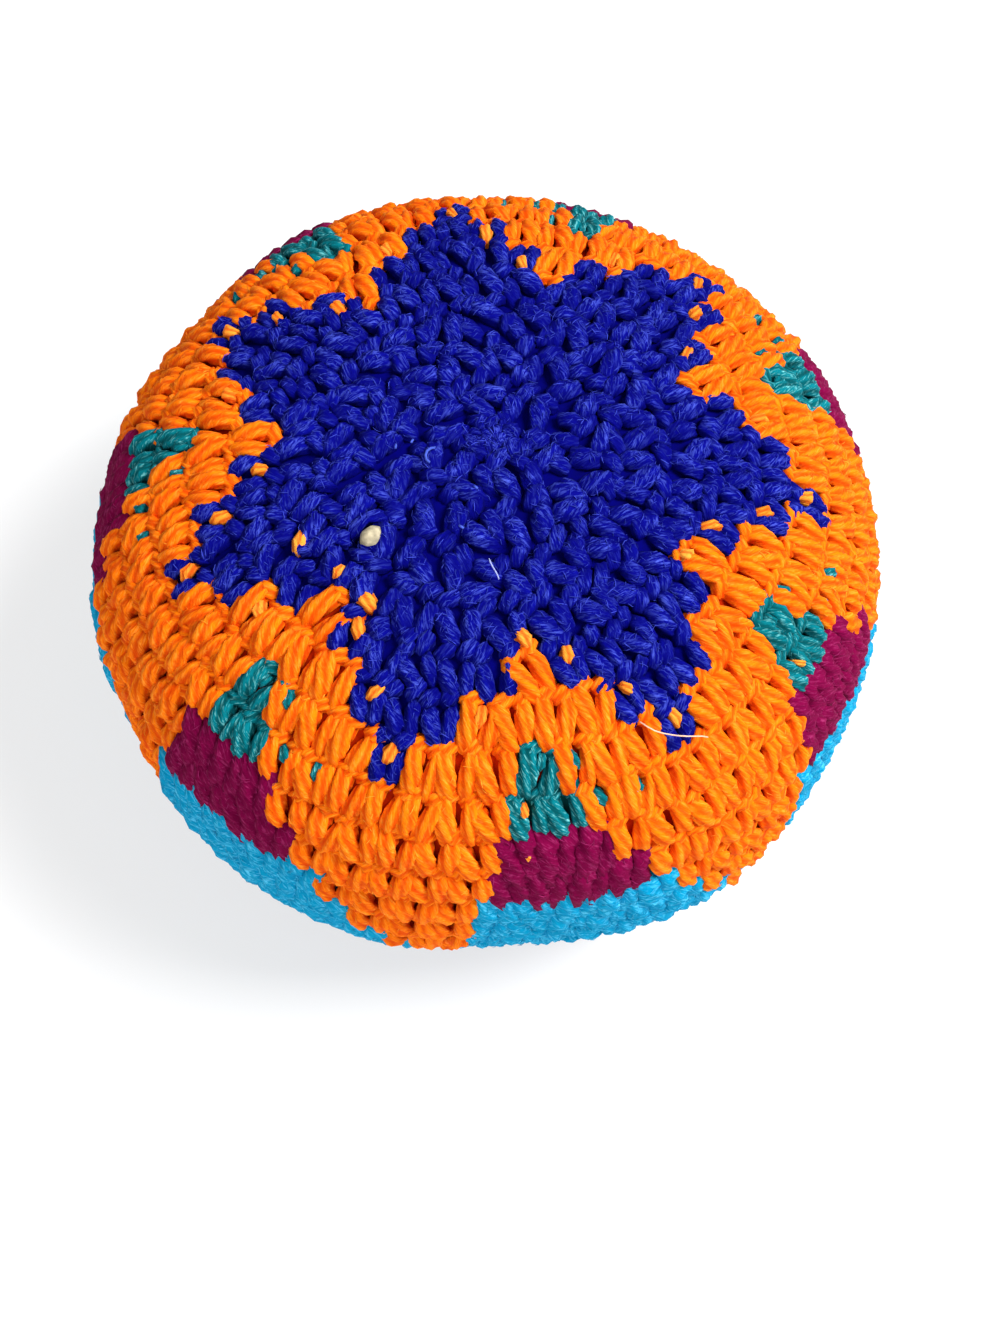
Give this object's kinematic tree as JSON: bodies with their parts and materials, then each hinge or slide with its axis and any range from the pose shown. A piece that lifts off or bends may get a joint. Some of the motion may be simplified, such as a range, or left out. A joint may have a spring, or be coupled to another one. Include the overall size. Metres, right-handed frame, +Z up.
{
  "type": "footbag",
  "caption": "Small round crocheted footbag with a blue star on orange and stepped triangles down its sides, filled with loose pellets.",
  "frame": {"origin": "centre of the flat patch that the bag rests on", "axes": "+Z up through the starting ring and the middle of the star; +Y away from the picture's camera, +X to its right"},
  "size_m": [0.06, 0.06, 0.0405],
  "materials": {
    "blue_yarn": "matte",
    "orange_yarn": "matte",
    "teal_yarn": "matte",
    "maroon_yarn": "matte",
    "turquoise_yarn": "matte",
    "pellet": "satin"
  },
  "bodies": {
    "root": {"closing_knot": "blue_yarn", "star_field": "blue_yarn", "orange_field": "orange_yarn", "turquoise_ring": "turquoise_yarn", "base_field": "blue_yarn", "starting_ring": "blue_yarn", "pellet_fill": "pellet", "teal_patch_1": "teal_yarn", "teal_patch_2": "teal_yarn", "teal_patch_3": "teal_yarn", "teal_patch_4": "teal_yarn", "teal_patch_5": "teal_yarn", "teal_patch_6": "teal_yarn", "teal_patch_7": "teal_yarn", "maroon_band_1": "maroon_yarn", "maroon_band_2": "maroon_yarn", "maroon_band_3": "maroon_yarn", "maroon_band_4": "maroon_yarn", "maroon_band_5": "maroon_yarn", "maroon_band_6": "maroon_yarn", "maroon_band_7": "maroon_yarn", "turquoise_band_1": "turquoise_yarn", "turquoise_band_2": "turquoise_yarn", "turquoise_band_3": "turquoise_yarn", "turquoise_band_4": "turquoise_yarn", "turquoise_band_5": "turquoise_yarn", "turquoise_band_6": "turquoise_yarn", "turquoise_band_7": "turquoise_yarn"}
  },
  "joints": []
}
